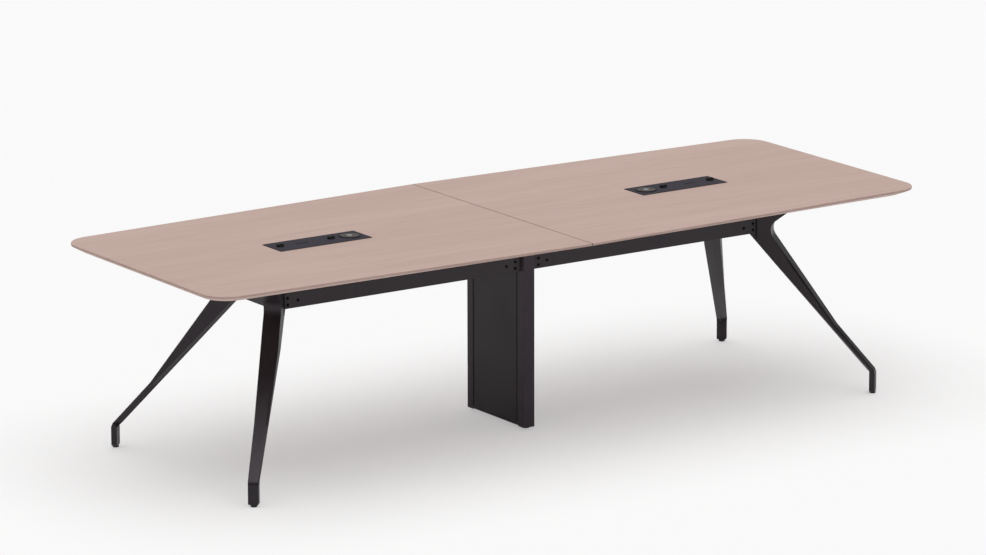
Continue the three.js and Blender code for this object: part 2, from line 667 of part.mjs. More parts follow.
// Centre column: two posts with spigots for the beams, lift-off covers, a base and a head plate
function post() {
  const side = COLUMN_THICKNESS / 2;
  const face = -COLUMN_DEPTH / 2;
  const shell = block(-side, side, face, face + POST_WIDTH, COLUMN_CLEAR, HEAD_PLATE_BOTTOM);
  const hollow = block(
    -side + POST_WALL,
    side - POST_WALL,
    face + POST_WALL,
    face + POST_WIDTH - POST_WALL,
    COLUMN_CLEAR + POST_FOOT,
    HEAD_PLATE_BOTTOM + OVERCUT,
  );
  const spigotReach = BEAM_START + SPIGOT_LENGTH;
  const spigot = block(-spigotReach, spigotReach, -SPIGOT_FACE, -SPIGOT_BACK, SPIGOT_BOTTOM, SPIGOT_TOP);
  const bore = studBore(0, face + POST_WIDTH / 2, COLUMN_CLEAR, COLUMN_CLEAR - FIT + STUD_LENGTH);
  const body = join(cut(shell, hollow), spigot);
  return cut(body, bore, ...boltHoles("column", 1), ...boltHoles("column", -1));
}

// A screw with a flat round foot, turned up into the post
function screwFoot() {
  const seat = COLUMN_CLEAR - FIT;
  const profile = [
    [0, seat - SCREW_FOOT_HEIGHT],
    [SCREW_FOOT_RADIUS, seat - SCREW_FOOT_HEIGHT],
    [SCREW_FOOT_RADIUS, seat],
    [STUD_RADIUS, seat],
    [STUD_RADIUS, seat + STUD_LENGTH],
    [0, seat + STUD_LENGTH],
  ];
  return turned(profile, 0, -COLUMN_DEPTH / 2 + POST_WIDTH / 2);
}

function columnCover() {
  const floor = COLUMN_THICKNESS / 2 - GROOVE_DEPTH;
  const raised = COLUMN_THICKNESS / 2 - COVER_RECESS;
  const edge = POST_INNER - FIT;
  const panel = POST_INNER - GROOVE_WIDTH;
  const side = [
    [floor, edge],
    [floor - COVER_SHEET, edge],
    [floor - COVER_SHEET, panel - COVER_SHEET],
    [raised - COVER_SHEET, panel - COVER_SHEET],
  ];
  const outer = [
    [raised, panel],
    [floor, panel],
  ];
  const mirror = (points) => points.map(([x, y]) => [x, -y]).reverse();
  const outline = [...side, ...mirror(side), ...mirror(outer), ...outer];
  const shape = new THREE.Shape(outline.map(([x, y]) => new THREE.Vector2(x, y)));
  const height = HEAD_PLATE_BOTTOM - COVER_HEADROOM - BASE_TOP - FIT;
  const sheet = new THREE.ExtrudeGeometry(shape, { depth: height, bevelEnabled: false });
  return sheet.translate(0, 0, BASE_TOP + FIT);
}

function columnBase() {
  const lipInner = COLUMN_THICKNESS / 2 - GROOVE_DEPTH + FIT;
  const lipOuter = lipInner + BASE_LIP_THICKNESS;
  const lipStart = POST_INNER - GROOVE_WIDTH + FIT;
  const lipEnd = POST_INNER - FIT;
  const lipTop = BASE_TOP + BASE_LIP_HEIGHT;
  const tray = block(-lipOuter, lipOuter, -lipEnd, lipEnd, BASE_BOTTOM, BASE_TOP);
  const lips = [
    block(lipInner, lipOuter, lipStart, lipEnd, BASE_BOTTOM, lipTop),
    block(lipInner, lipOuter, -lipEnd, -lipStart, BASE_BOTTOM, lipTop),
    block(-lipOuter, -lipInner, lipStart, lipEnd, BASE_BOTTOM, lipTop),
    block(-lipOuter, -lipInner, -lipEnd, -lipStart, BASE_BOTTOM, lipTop),
  ];
  const across = CABLE_SLOT_WIDTH / 2;
  const along = CABLE_SLOT_LENGTH / 2;
  const slot = block(-across, across, -along, along, BASE_BOTTOM - OVERCUT, BASE_TOP + OVERCUT);
  return cut(join(tray, ...lips), slot);
}

function headPlate() {
  const x = HEAD_PLATE_LENGTH / 2;
  const y = HEAD_PLATE_DEPTH / 2;
  const top = HEAD_PLATE_BOTTOM + HEAD_PLATE_THICKNESS;
  const plate = block(-x, x, -y, y, HEAD_PLATE_BOTTOM, top);
  const hole = (across, along) =>
    upright(TOP_SCREW_RADIUS + FIT, across, along, HEAD_PLATE_BOTTOM - OVERCUT, top + OVERCUT);
  const reach = HEAD_SCREW_REACH;
  const span = HEAD_SCREW_SPAN / 2;
  return cut(plate, hole(reach, span), hole(reach, -span), hole(-reach, span), hole(-reach, -span));
}

// Power plate: drawn about its own middle, +x towards the end of the table
function powerPlate() {
  const x = PLATE_LENGTH / 2;
  const y = PLATE_WIDTH / 2;
  const plate = block(-x, x, -y, y, TABLE_HEIGHT + FIT, PLATE_TOP);
  const through = (radius, at, steps) =>
    upright(radius + FIT, at, 0, TABLE_HEIGHT - OVERCUT, PLATE_TOP + OVERCUT, steps);
  const ports = block(
    PORTS_CENTRE - PORTS_LENGTH / 2 - FIT,
    PORTS_CENTRE + PORTS_LENGTH / 2 + FIT,
    -PORTS_WIDTH / 2 - FIT,
    PORTS_WIDTH / 2 + FIT,
    TABLE_HEIGHT - OVERCUT,
    PLATE_TOP + OVERCUT,
  );
  return cut(
    plate,
    through(SPINDLE_RADIUS, KNOB_OUTER, KNOB_STEPS),
    through(SPINDLE_RADIUS, KNOB_INNER, KNOB_STEPS),
    through(DISC_STEM_RADIUS, DISC_CENTRE, DISC_STEPS),
    ports,
  );
}

function powerTub() {
  const x = TUB_LENGTH / 2;
  const y = TUB_WIDTH / 2;
  const bottom = TABLE_HEIGHT - TUB_DEPTH;
  const outer = block(-x, x, -y, y, bottom, TABLE_HEIGHT);
  const inner = block(
    -x + TUB_WALL,
    x - TUB_WALL,
    -y + TUB_WALL,
    y - TUB_WALL,
    bottom + TUB_WALL,
    TABLE_HEIGHT + OVERCUT,
  );
  const middle = TABLE_HEIGHT - INLET_DROP;
  const doorway = block(
    -x - OVERCUT,
    -x + TUB_WALL + OVERCUT,
    -INLET_WIDTH / 2 - FIT,
    INLET_WIDTH / 2 + FIT,
    middle - INLET_HEIGHT / 2 - FIT,
    middle + INLET_HEIGHT / 2 + FIT,
  );
  return cut(outer, inner, doorway);
}

// Inlet socket in the end wall of the tub that faces the column
function powerInlet() {
  const wall = -TUB_LENGTH / 2;
  const middle = TABLE_HEIGHT - INLET_DROP;
  const y = INLET_WIDTH / 2;
  const z = INLET_HEIGHT / 2;
  const body = block(wall - INLET_FLANGE / 2, wall + INLET_DEPTH, -y, y, middle - z, middle + z);
  const flange = block(
    wall - FIT - INLET_FLANGE,
    wall - FIT,
    -y - INLET_FLANGE,
    y + INLET_FLANGE,
    middle - z - INLET_FLANGE,
    middle + z + INLET_FLANGE,
  );
  const well = block(
    wall - INLET_FLANGE - OVERCUT,
    wall + INLET_DEPTH - INLET_WALL,
    -y + INLET_WALL,
    y - INLET_WALL,
    middle - z + INLET_WALL,
    middle + z - INLET_WALL,
  );
  return cut(join(body, flange), well);
}

function lockKnob() {
  const base = PLATE_TOP + FIT;
  const grip = base + KNOB_BASE;
  const top = base + KNOB_HEIGHT;
  const keeperTop = TABLE_HEIGHT;
  const profile = [
    [0, keeperTop - KEEPER_THICKNESS],
    [KEEPER_RADIUS, keeperTop - KEEPER_THICKNESS],
    [KEEPER_RADIUS, keeperTop],
    [SPINDLE_RADIUS, keeperTop],
    [SPINDLE_RADIUS, base],
    [KNOB_RADIUS, base],
    [KNOB_RADIUS, top],
    [0, top],
  ];
  const away = KNOB_GRIP / 2 + KNOB_HOLLOW_RADIUS;
  const hollows = [-1, 1].map((side) =>
    upright(KNOB_HOLLOW_RADIUS, 0, side * away, grip, top + OVERCUT, KNOB_STEPS),
  );
  return cut(turned(profile, 0, 0, KNOB_STEPS), ...hollows);
}

function chargingDisc() {
  const base = PLATE_TOP + FIT;
  const profile = [
    [0, base - DISC_STEM_LENGTH],
    [DISC_STEM_RADIUS, base - DISC_STEM_LENGTH],
    [DISC_STEM_RADIUS, base],
    [DISC_RADIUS, base],
    [DISC_RADIUS, base + DISC_HEIGHT],
    [0, base + DISC_HEIGHT],
  ];
  return turned(profile, 0, 0, DISC_STEPS);
}

function portBlock() {
  const x = PORTS_LENGTH / 2;
  const y = PORTS_WIDTH / 2;
  const bottom = PLATE_TOP - PORTS_HEIGHT;
  const body = block(-x, x, -y, y, bottom, PLATE_TOP);
  const flange = block(
    -x - PORTS_FLANGE,
    x + PORTS_FLANGE,
    -y - PORTS_FLANGE,
    y + PORTS_FLANGE,
    TABLE_HEIGHT - PORTS_FLANGE,
    TABLE_HEIGHT,
  );
  const openings = PORT_OPENINGS.map(({ shift, length, width }) =>
    block(
      shift - length / 2,
      shift + length / 2,
      -width / 2,
      width / 2,
      PLATE_TOP - PORT_DEPTH,
      PLATE_TOP + OVERCUT,
    ),
  );
  return cut(join(body, flange), ...openings);
}

// Assembly: one quarter of the frame is built at the right near corner and mirrored to the others
function quarter(corner, flipX, flipY) {
  const group = new THREE.Group();
  const ear = legPoint(EAR_SCREW_REACH);
  group.add(
    piece("leg_" + corner, leg(), "powderCoat"),
    piece("glide_pad_" + corner, glidePad(), "nylon"),
    piece("glide_stud_" + corner, glideStud(), "zinc"),
    piece("beam_" + corner, longBeam(), "powderCoat"),
    piece("leg_bolts_" + corner, boltSet("leg"), "darkSteel"),
    piece("column_bolts_" + corner, boltSet("column"), "darkSteel"),
    piece("top_screw_" + corner, topScrew(ear.x, ear.y, PAD_BOTTOM), "zinc"),
  );
  group.scale.set(flipX, flipY, 1);
  return group;
}

function half(side, turn) {
  const group = new THREE.Group();
  const plate = new THREE.Group();
  const knobOuter = piece("lock_knob_" + side + "_outer", lockKnob(), "blackPlastic");
  const knobInner = piece("lock_knob_" + side + "_inner", lockKnob(), "blackPlastic");
  const disc = piece("charging_disc_" + side, chargingDisc(), "blackPlastic");
  const ports = piece("port_block_" + side, portBlock(), "blackPlastic");
  knobOuter.position.x = KNOB_OUTER;
  knobInner.position.x = KNOB_INNER;
  disc.position.x = DISC_CENTRE;
  ports.position.x = PORTS_CENTRE;
  plate.add(
    piece("power_plate_" + side, powerPlate(), "anodised"),
    piece("power_tub_" + side, powerTub(), "powderCoat"),
    piece("power_inlet_" + side, powerInlet(), "blackPlastic"),
    knobOuter,
    knobInner,
    disc,
    ports,
  );
  plate.position.x = PLATE_CENTRE;
  const screwY = HEAD_SCREW_SPAN / 2;
  group.add(
    piece("top_" + side, topHalf(), "wood"),
    piece("crossbeam_" + side, crossbeam(), "powderCoat"),
    piece("head_screw_" + side + "_a", topScrew(HEAD_SCREW_REACH, screwY, HEAD_PLATE_BOTTOM), "zinc"),
    piece("head_screw_" + side + "_b", topScrew(HEAD_SCREW_REACH, -screwY, HEAD_PLATE_BOTTOM), "zinc"),
    piece("column_cover_" + side, columnCover(), "powderCoat"),
    plate,
  );
  group.rotation.z = turn;
  return group;
}

function columnEnd(side, turn) {
  const group = new THREE.Group();
  group.add(
    piece("column_post_" + side, post(), "powderCoat"),
    piece("column_foot_" + side, screwFoot(), "darkSteel"),
    piece("seam_dowel_" + side, dowelRod(DOWEL_RADIUS, DOWEL_LENGTH, -DOWEL_REACH), "dowel"),
  );
  group.rotation.z = turn;
  return group;
}

const table = new THREE.Group();
table.add(
  half("right", 0),
  half("left", Math.PI),
  quarter("right_near", 1, 1),
  quarter("right_far", 1, -1),
  quarter("left_near", -1, 1),
  quarter("left_far", -1, -1),
  columnEnd("near", 0),
  columnEnd("far", Math.PI),
  piece("column_base", columnBase(), "powderCoat"),
  piece("column_head", headPlate(), "powderCoat"),
);

export default table;
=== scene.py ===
"""Looks of a boat-shaped conference table: its finishes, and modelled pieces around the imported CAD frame.

Metres, +Z up, in the same frame as the CAD part. Sizes are written in millimetres. MM turns plain lengths to metres
where they are named, and profiles and patterns where they are used.
"""

import json
import math

import bmesh
import bpy
from mathutils import Matrix, Vector


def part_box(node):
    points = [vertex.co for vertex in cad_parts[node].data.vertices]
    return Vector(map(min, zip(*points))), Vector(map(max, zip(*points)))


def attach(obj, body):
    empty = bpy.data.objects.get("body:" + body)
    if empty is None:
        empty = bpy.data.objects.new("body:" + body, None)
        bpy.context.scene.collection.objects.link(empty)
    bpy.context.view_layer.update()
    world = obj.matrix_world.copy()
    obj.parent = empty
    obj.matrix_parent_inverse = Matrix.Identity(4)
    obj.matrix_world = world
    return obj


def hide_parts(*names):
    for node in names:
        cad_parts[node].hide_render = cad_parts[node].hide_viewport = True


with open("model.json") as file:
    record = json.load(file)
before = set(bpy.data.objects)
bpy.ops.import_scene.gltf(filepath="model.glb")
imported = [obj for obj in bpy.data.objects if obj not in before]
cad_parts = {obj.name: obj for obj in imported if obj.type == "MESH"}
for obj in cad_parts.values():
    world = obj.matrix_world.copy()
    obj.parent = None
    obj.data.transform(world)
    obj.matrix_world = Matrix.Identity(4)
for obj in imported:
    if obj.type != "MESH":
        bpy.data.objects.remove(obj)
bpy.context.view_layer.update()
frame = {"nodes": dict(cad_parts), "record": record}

MM = 0.001
UP = Vector((0, 0, 1))
SIDES = ("right", "left")
ENDS = ("near", "far")
CORNERS = [f"{side}_{end}" for side in SIDES for end in ENDS]

# Rounding of edges: the radius, and the length from which an edge is rounded
TOP_ARRIS = 1.4 * MM
SHEET_EDGE = 1.0 * MM
TOP_ROUNDING = (TOP_ARRIS, 4 * MM)
LEG_ROUNDING = (2.2 * MM, 7 * MM)
TUBE_ROUNDING = (2.4 * MM, 20 * MM)
POST_ROUNDING = (2.0 * MM, 20 * MM)
SHEET_ROUNDING = (SHEET_EDGE, 20 * MM)
BASE_ROUNDING = (SHEET_EDGE, 8 * MM)
PLATE_ROUNDING = (0.6 * MM, 20 * MM)
INLET_ROUNDING = (0.7 * MM, 4 * MM)
KNOB_ROUNDING = (0.7 * MM, 2 * MM)
PORT_ROUNDING = (0.35 * MM, 2 * MM)
ROUNDING_STEPS = 3
BLOCK_ROUNDING_STEPS = 2

# Limits for cleaning meshes
WELD = 0.001 * MM
CAD_WELD = 0.005 * MM
CAD_FLAT = math.radians(0.3)  # CAD facets that fold by less are joined

# Edge of the top, and the black seal in its seam. The seal and the black edges of the seam are painted shade, which
# darkens the seam to a shadow line
LIP_HEIGHT = 8 * MM
LIP_TILT = 0.6  # faces whose normals rise less than this belong to the lip
SEAM_TILT = 0.8  # faces whose normals turn further than this towards the seam get painted shade: they are made black, to read as a shadow line
SEAM_GAP = 0.8 * MM  # taken off each half, so that the seam shows as a dark line
SEAL_TOP = 0.9 * MM  # below the face of the table
SEAL_REACH = 1.3 * MM  # to each side of the seam
SEAL_HEIGHT = 5 * MM
SEAL_CREASE = 0.3 * MM  # of the seal's upper and lower sides
SEAL_SETBACK = 2.2 * MM  # of its ends from the long edges of the top

# Upright joint between the hub and the blade of a leg: a thin black filler in the side next to the long beam. It is
# painted shade, a dark strip that stands for the shadow in the joint's gap
JOINT_REACH = 1.9 * MM  # from the end of the beam, along the leg
JOINT_WIDTH = 3.2 * MM
JOINT_PROUD = 0.12 * MM
JOINT_DEPTH = 1.5 * MM
JOINT_BOTTOM = 563 * MM

# Button-head bolts: rings of radius and height above the seat. Sockets are measured across corners
BUTTON_HEAD = [(5.5, 0), (5.5, 0.8), (5.2, 1.5), (4.6, 2.3), (3.8, 2.95), (3.0, 3.3)]
BUTTON_SOCKET = [(2.5, 3.3), (2.3, 3.1), (2.3, 1.3)]
BUTTON_HEIGHT = 3.3
BUTTON_SOCKET_TIP = 1.0
BOLT_SHANK = 3
BOLT_CHAMFER = 0.5
BOLT_MARGIN = 8  # of the nut plate around the bolts
NUT_PLATE = 5

# Small set screw on the inner face of each foot
SET_SCREW = [(0, -2), (2.5, -2), (2.5, 0.45), (2.3, 0.6), (1.9, 0.6)]
SET_SCREW_SOCKET = [(1.5, 0.6), (1.45, 0.1)]
SET_SCREW_SOCKET_TIP = 0.05
SET_SCREW_HEIGHT = 72.5
FOOT_DEPTH = 21
LEG_ANGLE = math.radians(47.2)  # of a leg's plane from the length of the table

# Screw threads of the glides and of the column's feet: radii and heights in one turn, and in the tip
THREAD_CREST = 4.0
THREAD_ROOT = 3.4
THREAD_PITCH = 1.25
THREAD_TURN = [(THREAD_ROOT, 0.1), (THREAD_CREST, 0.5), (THREAD_CREST, 0.7)]
THREAD_RUNOUT = 1.0
THREAD_CHAMFER = 0.5
THREAD_CHAMFER_HEIGHT = 0.4
GLIDE_PAD = [
    (0, 0), (9.2, 0), (10.1, 0.4), (11.2, 1.6), (11.5, 2.4), (11.5, 7.0), (10.9, 7.6), (6.3, 7.6), (6.3, 3), (0, 3),
]
GLIDE_FLANGE = [(0, 0), (5.8, 0), (6, 0.2), (6, 1.7), (5.7, 2)]
GLIDE_FLANGE_HEIGHT = 2
SCREW_FOOT = [(0, 0), (9.2, 0), (9.8, 0.3), (10, 0.9), (10, 3.3), (9.6, 3.9), (9, 4)]
SCREW_FOOT_HEIGHT = 4

# Charging disc: rim with its stem, soft pad and printed mark
DISC_RIM = [
    (0, -12), (14.6, -12), (15, -11.6), (15, 0), (37.8, 0), (38.4, 0.4), (38.5, 1), (38.5, 2.2), (38.2, 2.7),
    (37.5, 3), (36.4, 3), (35.8, 2.8), (35.6, 2.3), (35.6, 1.2), (0, 1.2),
]
DISC_PAD = [(0, 1.3), (35.2, 1.3), (35.3, 1.9), (35.0, 2.3), (34.2, 2.45), (22, 2.35), (0, 2.3)]
MARK_RING = [(6.6, 2.2), (9.4, 2.2), (9.4, 2.45), (6.6, 2.45), (6.6, 2.2)]
MARK_DOT = [(0, 2.2), (2.8, 2.2), (2.8, 2.45), (0, 2.45)]
DISC_STEM = 12

# Shells in the openings of the port block: shift along the block, length, width and corner radius of the opening
PORT_SHELLS = [(-15, 12, 3, 0.5), (1, 12, 3, 0.5), (15.5, 8.4, 2.6, 1.25)]
PORT_SHELL_FIT = 0.04
PORT_SHELL_WALL = 0.4
PORT_SHELL_DEPTH = 8.6
PORT_SHELL_SINK = 0.6
PORT_CORNER_STEPS = 6
TONGUE_WIDTH = 0.9
TONGUE_INSET = 1.2  # from the ends of the opening
TONGUE_SINK = 1.4
TONGUE_EDGE = 0.15

# Sizes of the materials' patterns. Those of wood run along the table, across it and in depth, and their shares say
# how much streak or fleck colour they add. Patterns that are too fine for the render are drawn coarser, to show
WOOD_DRIFT = (900, 130, 130)
WOOD_RINGS = (900, 26, 26)
WOOD_LINES = (330, 16, 16)  # really 3 to 5 mm wide
WOOD_FLECKS = (34, 5, 5)
WOOD_PORES = (60, 3.2, 3.2)  # really 0.3 mm wide
DRIFT_SHARE = 0.26
RING_SHARE = 0.12
LINE_SHARE = 0.34
FLECK_SHARE = 0.48
PORE_SHARE = 0.18
COAT_BLOOM = 180
BRUSHED_LINES = (60, 0.8, 0.8)  # really 0.2 mm wide
PLASTIC_CLOUD = 25

# Studio
FLOOR_REACH = 150  # metres
SKY_LIGHT = 0.28
WALL_LIGHT = 0.06  # of the studio's walls, between the white at the horizon and the white ceiling
HORIZON_FADE = (0.05, 0.11)  # rise of a ray at which the white horizon turns to wall
CEILING_FADE = (0.55, 0.85)  # the same for the wall and the ceiling
OVERHEAD_LIGHT = 0.72  # with the sky, a level white surface then renders white
OVERHEAD_SPREAD = math.radians(80)
FLOOR_LIFT = 0.4  # share of plain white in the floor where it is looked at

# Photograph and the camera that took it
PHOTO_WIDTH = 986
PHOTO_HEIGHT = 555
FOCAL_PIXELS = 5490.25
AXIS_PIXEL = (494.48, 277.49)  # where the camera's axis meets the picture
CAMERA_PLACE = Vector((-10.6962, -15.7560, 5.1646))
CAMERA_YAW = math.radians(34.111)  # to the right of straight along +Y
CAMERA_DIP = math.radians(13.700)
CAMERA_ROLL = math.radians(-0.112)
CAMERA_SIGHT = 500  # metres
SENSOR_WIDTH = 36  # mm

nodes = frame["nodes"]
record = frame["record"]
body_of = {node: body for body, members in record["behaviour"]["bodies"].items() for node in members}
slot_of = {part["node"]: part["material_slot"] for part in record["subparts"]}


# Materials


def srgb(colour):
    """A hex colour, as seen on a screen, in the linear values that Blender's sockets take."""
    channels = [int(colour[i:i + 2], 16) / 255 for i in (1, 3, 5)]
    linear = [c / 12.92 if c <= 0.04045 else ((c + 0.055) / 1.055) ** 2.4 for c in channels]
    return (*linear, 1.0)


def add(tree, kind, inputs=None, **settings):
    """Adds a node. Settings are its properties; inputs are values for its sockets, or the sockets that feed them."""
    node = tree.nodes.new("ShaderNode" + kind)
    for name, value in settings.items():
        setattr(node, name, value)
    for name, value in (inputs or {}).items():
        if isinstance(value, bpy.types.NodeSocket):
            tree.links.new(value, node.inputs[name])
        else:
            node.inputs[name].default_value = value
    return node


def new_material(name):
    """A material without nodes, and its node tree."""
    material = bpy.data.materials.new(name)
    material.use_nodes = True
    material.node_tree.nodes.clear()
    return material, material.node_tree


def per_size(x, y, z):
    """Scale of a pattern whose features measure x, y and z millimetres."""
    return (1 / (x * MM), 1 / (y * MM), 1 / (z * MM))


def lacquered_wood(name, ground, streak, fleck, roughness):
    """Sliced wood, stained and sealed with a matt lacquer. The eye sees a calm ground, slow drifts of tone, darker
    growth lines along the length of the table, short pale ray flecks and a soft even sheen."""
    material, tree = new_material(name)
    place = add(tree, "TexCoord").outputs["Object"]

    def pattern(size, detail, low, high):
        scaled = add(tree, "Mapping", {"Vector": place, "Scale": per_size(*size)}).outputs["Vector"]
        noise = add(tree, "TexNoise", {"Vector": scaled, "Scale": 1.0, "Detail": detail, "Roughness": 0.55})
        limits = {"Value": noise.outputs["Fac"], "From Min": low, "From Max": high}
        return add(tree, "MapRange", limits).outputs["Result"]

    drift = pattern(WOOD_DRIFT, detail=3.0, low=0.35, high=0.65)
    lines = pattern(WOOD_LINES, detail=4.0, low=0.54, high=0.74)
    pores = pattern(WOOD_PORES, detail=2.0, low=0.58, high=0.74)
    flecks = pattern(WOOD_FLECKS, detail=1.0, low=0.66, high=0.76)

    ring_place = add(tree, "Mapping", {"Vector": place, "Scale": per_size(*WOOD_RINGS)}).outputs["Vector"]
    ring_inputs = {
        "Vector": ring_place, "Scale": 0.314, "Distortion": 7.0, "Detail": 2.0, "Detail Scale": 0.35,
        "Detail Roughness": 0.5,
    }
    rings = add(tree, "TexWave", ring_inputs, bands_direction="Y", wave_profile="SAW").outputs["Fac"]
    ring_dark = add(tree, "MapRange", {"Value": rings, "From Min": 0.55, "From Max": 1.0}).outputs["Result"]

    def tint(below, colour, mask, share):
        weight = add(tree, "Math", {0: mask, 1: share}, operation="MULTIPLY").outputs["Value"]
        mixed = add(tree, "Mix", {0: weight, 6: below, 7: colour}, data_type="RGBA")
        return mixed.outputs[2]

    colour = tint(srgb(ground), srgb(streak), drift, DRIFT_SHARE)
    colour = tint(colour, srgb(streak), ring_dark, RING_SHARE)
    colour = tint(colour, srgb(streak), lines, LINE_SHARE)
    colour = tint(colour, srgb(fleck), flecks, FLECK_SHARE)
    colour = tint(colour, srgb(streak), pores, PORE_SHARE)

    relief = add(tree, "Math", {0: lines, 1: pores}, operation="ADD").outputs["Value"]
    bump = add(tree, "Bump", {"Height": relief, "Strength": 0.12, "Distance": -0.2 * MM}).outputs["Normal"]
    rough_limits = {"Value": relief, "To Min": roughness, "To Max": roughness + 0.12}
    rough = add(tree, "MapRange", rough_limits).outputs["Result"]
    surface = {"Base Color": colour, "Roughness": rough, "Normal": bump, "IOR": 1.48, "Specular IOR Level": 0.2}
    shader = add(tree, "BsdfPrincipled", surface)
    add(tree, "OutputMaterial", {"Surface": shader.outputs["BSDF"]})
    return material


def powder_coat(name, colour, lighter, peel, roughness, gloss):
    """Epoxy-polyester powder, sprayed and baked on metal. It is a near-black skin with a fine pebbled peel, given in
    millimetres, that breaks up the highlights, and a thin bloom of handling marks that lightens it unevenly."""
    material, tree = new_material(name)
    place = add(tree, "TexCoord").outputs["Object"]
    bloom_inputs = {"Vector": place, "Scale": 1 / (COAT_BLOOM * MM), "Detail": 4.0, "Roughness": 0.6}
    bloom = add(tree, "TexNoise", bloom_inputs).outputs["Fac"]
    haze = add(tree, "MapRange", {"Value": bloom, "From Min": 0.4, "From Max": 0.7}).outputs["Result"]
    base = add(tree, "Mix", {0: haze, 6: srgb(colour), 7: srgb(lighter)}, data_type="RGBA").outputs[2]
    grit = add(tree, "TexNoise", {"Vector": place, "Scale": 1 / (peel * MM), "Detail": 2.0, "Roughness": 0.5})
    bump = add(tree, "Bump", {"Height": grit.outputs["Fac"], "Strength": 0.25, "Distance": 0.12 * MM})
    rough_limits = {"Value": haze, "To Min": roughness, "To Max": roughness + 0.08}
    rough = add(tree, "MapRange", rough_limits).outputs["Result"]
    surface = {
        "Base Color": base, "Roughness": rough, "Normal": bump.outputs["Normal"], "IOR": 1.5,
        "Specular IOR Level": gloss, "Specular Tint": srgb("#FFF4FC"),
    }
    shader = add(tree, "BsdfPrincipled", surface)
    add(tree, "OutputMaterial", {"Surface": shader.outputs["BSDF"]})
    return material


def plain_metal(name, colour, worn, grain, roughness):
    """Plated, oxidised or anodised metal. Rolled, threaded or brushed metal keeps a fine grain under its thin skin,
    given in millimetres, and the skin clouds a little where it is handled."""
    material, tree = new_material(name)
    place = add(tree, "TexCoord").outputs["Object"]
    scaled = add(tree, "Mapping", {"Vector": place, "Scale": per_size(*grain)}).outputs["Vector"]
    drawn = add(tree, "TexNoise", {"Vector": scaled, "Scale": 1.0, "Detail": 3.0}).outputs["Fac"]
    base = add(tree, "Mix", {0: drawn, 6: srgb(colour), 7: srgb(worn)}, data_type="RGBA").outputs[2]
    rough_limits = {"Value": drawn, "To Min": roughness - 0.08, "To Max": roughness + 0.1}
    rough = add(tree, "MapRange", rough_limits).outputs["Result"]
    bump = add(tree, "Bump", {"Height": drawn, "Strength": 0.1, "Distance": 0.05 * MM})
    surface = {"Base Color": base, "Roughness": rough, "Normal": bump.outputs["Normal"], "Metallic": 1.0}
    shader = add(tree, "BsdfPrincipled", surface)
    add(tree, "OutputMaterial", {"Surface": shader.outputs["BSDF"]})
    return material


def moulded_plastic(name, colour, lighter, spark, roughness, gloss=0.5):
    """Moulded ABS, nylon, silicone or rubber, or ink printed on them. The eroded mould leaves a fine even grain, so
    the colour is soft and only edges and crowns catch the light. The real grain is 0.1 mm wide: spark, its drawn size
    in millimetres, is coarser, so that it shows."""
    material, tree = new_material(name)
    place = add(tree, "TexCoord").outputs["Object"]
    grain = add(tree, "TexVoronoi", {"Vector": place, "Scale": 1 / (spark * MM)})
    cloud_inputs = {"Vector": place, "Scale": 1 / (PLASTIC_CLOUD * MM), "Detail": 3.0}
    cloud = add(tree, "TexNoise", cloud_inputs).outputs["Fac"]
    base = add(tree, "Mix", {0: cloud, 6: srgb(colour), 7: srgb(lighter)}, data_type="RGBA").outputs[2]
    bump = add(tree, "Bump", {"Height": grain.outputs["Distance"], "Strength": 0.15, "Distance": 0.05 * MM})
    rough_limits = {"Value": cloud, "To Min": roughness - 0.05, "To Max": roughness + 0.08}
    rough = add(tree, "MapRange", rough_limits).outputs["Result"]
    surface = {
        "Base Color": base, "Roughness": rough, "Normal": bump.outputs["Normal"], "IOR": 1.54,
        "Specular IOR Level": gloss,
    }
    shader = add(tree, "BsdfPrincipled", surface)
    add(tree, "OutputMaterial", {"Surface": shader.outputs["BSDF"]})
    return material


# Veneer, sliced and pressed on the faces of the top: pale and calm
oak_face = lacquered_wood("greige_oak_veneer", "#CCB3A9", "#B3988E", "#D8C2B8", roughness=0.55)

# Strip glued round the edge, milled and stained: a little darker and smoother
oak_lipping = lacquered_wood("greige_oak_lipping", "#C0A59C", "#A3877F", "#CDB8B0", roughness=0.5)

# Dowels, turned from plain beech: warm and yellowish
beech = lacquered_wood("beech", "#CBAA7D", "#B08C5C", "#D8BD94", roughness=0.6)

# Coat of castings and tubes: half gloss, with soft reflections of the room
coat = powder_coat("black_powder_coat", "#1D191D", "#231F23", peel=1.8, roughness=0.4, gloss=0.43)

# Coat of folded sheet, thinner and with a finer peel: duller
sheet_coat = powder_coat("black_powder_coat_on_sheet", "#1C171B", "#221D21", peel=1.4, roughness=0.46, gloss=0.24)

# Coat of the posts, of matt powder: dark grey, with no clear reflection
post_coat = powder_coat("black_matt_powder_coat", "#433D43", "#4A444A", peel=1.8, roughness=0.55, gloss=0.15)

# Bolts, blackened in a hot bath of salts and oiled: black with a dull shine
black_oxide = plain_metal("black_oxide_steel", "#141416", "#1E1E21", grain=(6, 6, 6), roughness=0.42)

# Studs and screws, plated with zinc in a bath: pale grey, clouded
zinc = plain_metal("zinc_plated_steel", "#A9ACB0", "#C2C4C6", grain=(4, 4, 4), roughness=0.34)

# Plates, brushed along their length, dyed and sealed: dark satin grey with fine lines
anodised = plain_metal("graphite_anodised_aluminium", "#47444C", "#535158", grain=BRUSHED_LINES, roughness=0.58)

# Shells of the ports, stamped and plated with nickel: warm and bright
nickel = plain_metal("nickel_plated_steel", "#B9B4AC", "#CFCAC2", grain=(3, 3, 3), roughness=0.25)

# Knobs, blocks and rims, moulded in a spark-eroded tool: deep black with a low sheen
abs_plastic = moulded_plastic("black_abs", "#100F10", "#171617", spark=0.9, roughness=0.56, gloss=0.35)

# Pads of the glides, moulded: black and faintly clouded
nylon = moulded_plastic("black_nylon", "#161617", "#1C1C1D", spark=1.2, roughness=0.6)

# Pads of the discs, pressed from soft silicone: dusty dark grey without highlights
silicone = moulded_plastic("black_silicone", "#464141", "#504B4B", spark=0.7, roughness=0.68)
